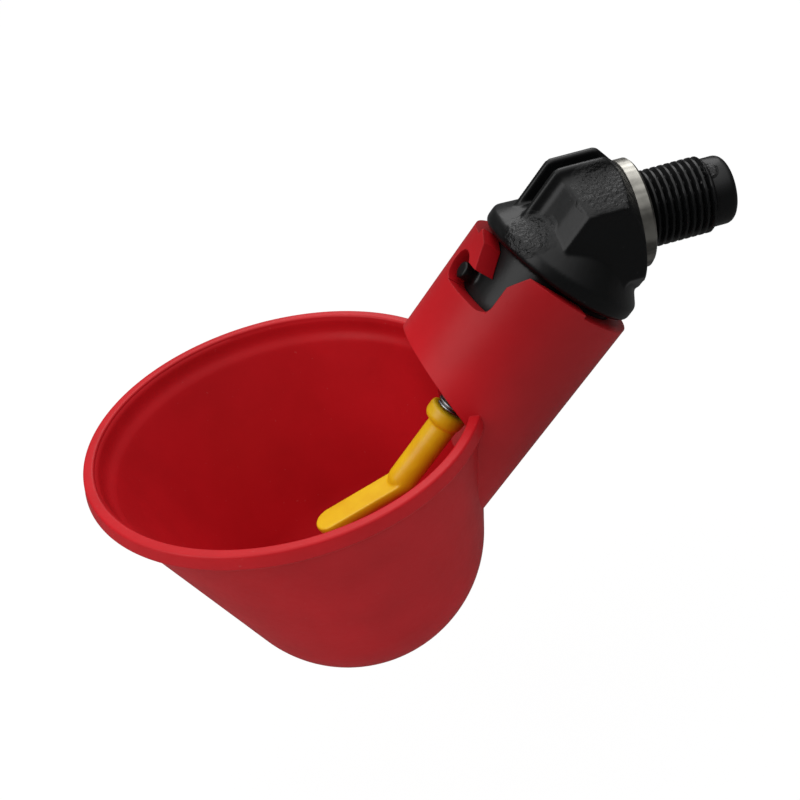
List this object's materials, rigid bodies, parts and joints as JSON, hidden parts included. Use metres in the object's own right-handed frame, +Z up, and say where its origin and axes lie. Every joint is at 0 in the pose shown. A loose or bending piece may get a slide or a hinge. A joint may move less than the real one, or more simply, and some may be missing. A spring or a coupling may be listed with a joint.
{
  "type": "poultry drinking cup",
  "caption": "Poultry drinking cup: a red plastic bowl with a leaning tube, hung by a bayonet on a black threaded elbow valve and worked by a yellow trigger.",
  "frame": {"origin": "on the axis of the threaded spigot, at the outer face of the steel ring, which meets the water line", "axes": "+X along the spigot, away from the cup; +Z up, with the bowl's rim level; the XZ plane is the plane of symmetry, apart from the two bayonet slots, which match when the tube is turned half round"},
  "size_m": [0.0876, 0.0528, 0.0643],
  "materials": {
    "red_plastic": "smooth satin moulding",
    "black_plastic": "glossy moulding",
    "ring_steel": "turned",
    "seat_rubber": "moulded",
    "bush_plastic": "moulded",
    "stem_steel": "drawn wire",
    "yellow_plastic": "smooth moulding",
    "spring_steel": "bright wire"
  },
  "bodies": {
    "valve": {"valve_body": "black_plastic", "thread_ring": "ring_steel", "valve_seat": "seat_rubber", "retaining_bush": "bush_plastic"},
    "cup": {"cup": "red_plastic"},
    "trigger": {"trigger": "yellow_plastic", "valve_stem": "stem_steel", "trigger_spring": "spring_steel"}
  },
  "joints": [
    {"name": "cup_twist", "type": "hinge", "parent": "valve", "child": "cup", "pos_m": [-0.01133, 0, -0.00498], "axis": [0.7071, 0, 0.7071], "range_deg": [-35, 0]},
    {"name": "trigger_tilt", "type": "hinge", "parent": "valve", "child": "trigger", "pos_m": [-0.01487, 0, -0.00852], "axis": [0, 1, 0], "range_deg": [-5, 5], "stiffness_Nm_per_rad": 0.05}
  ]
}
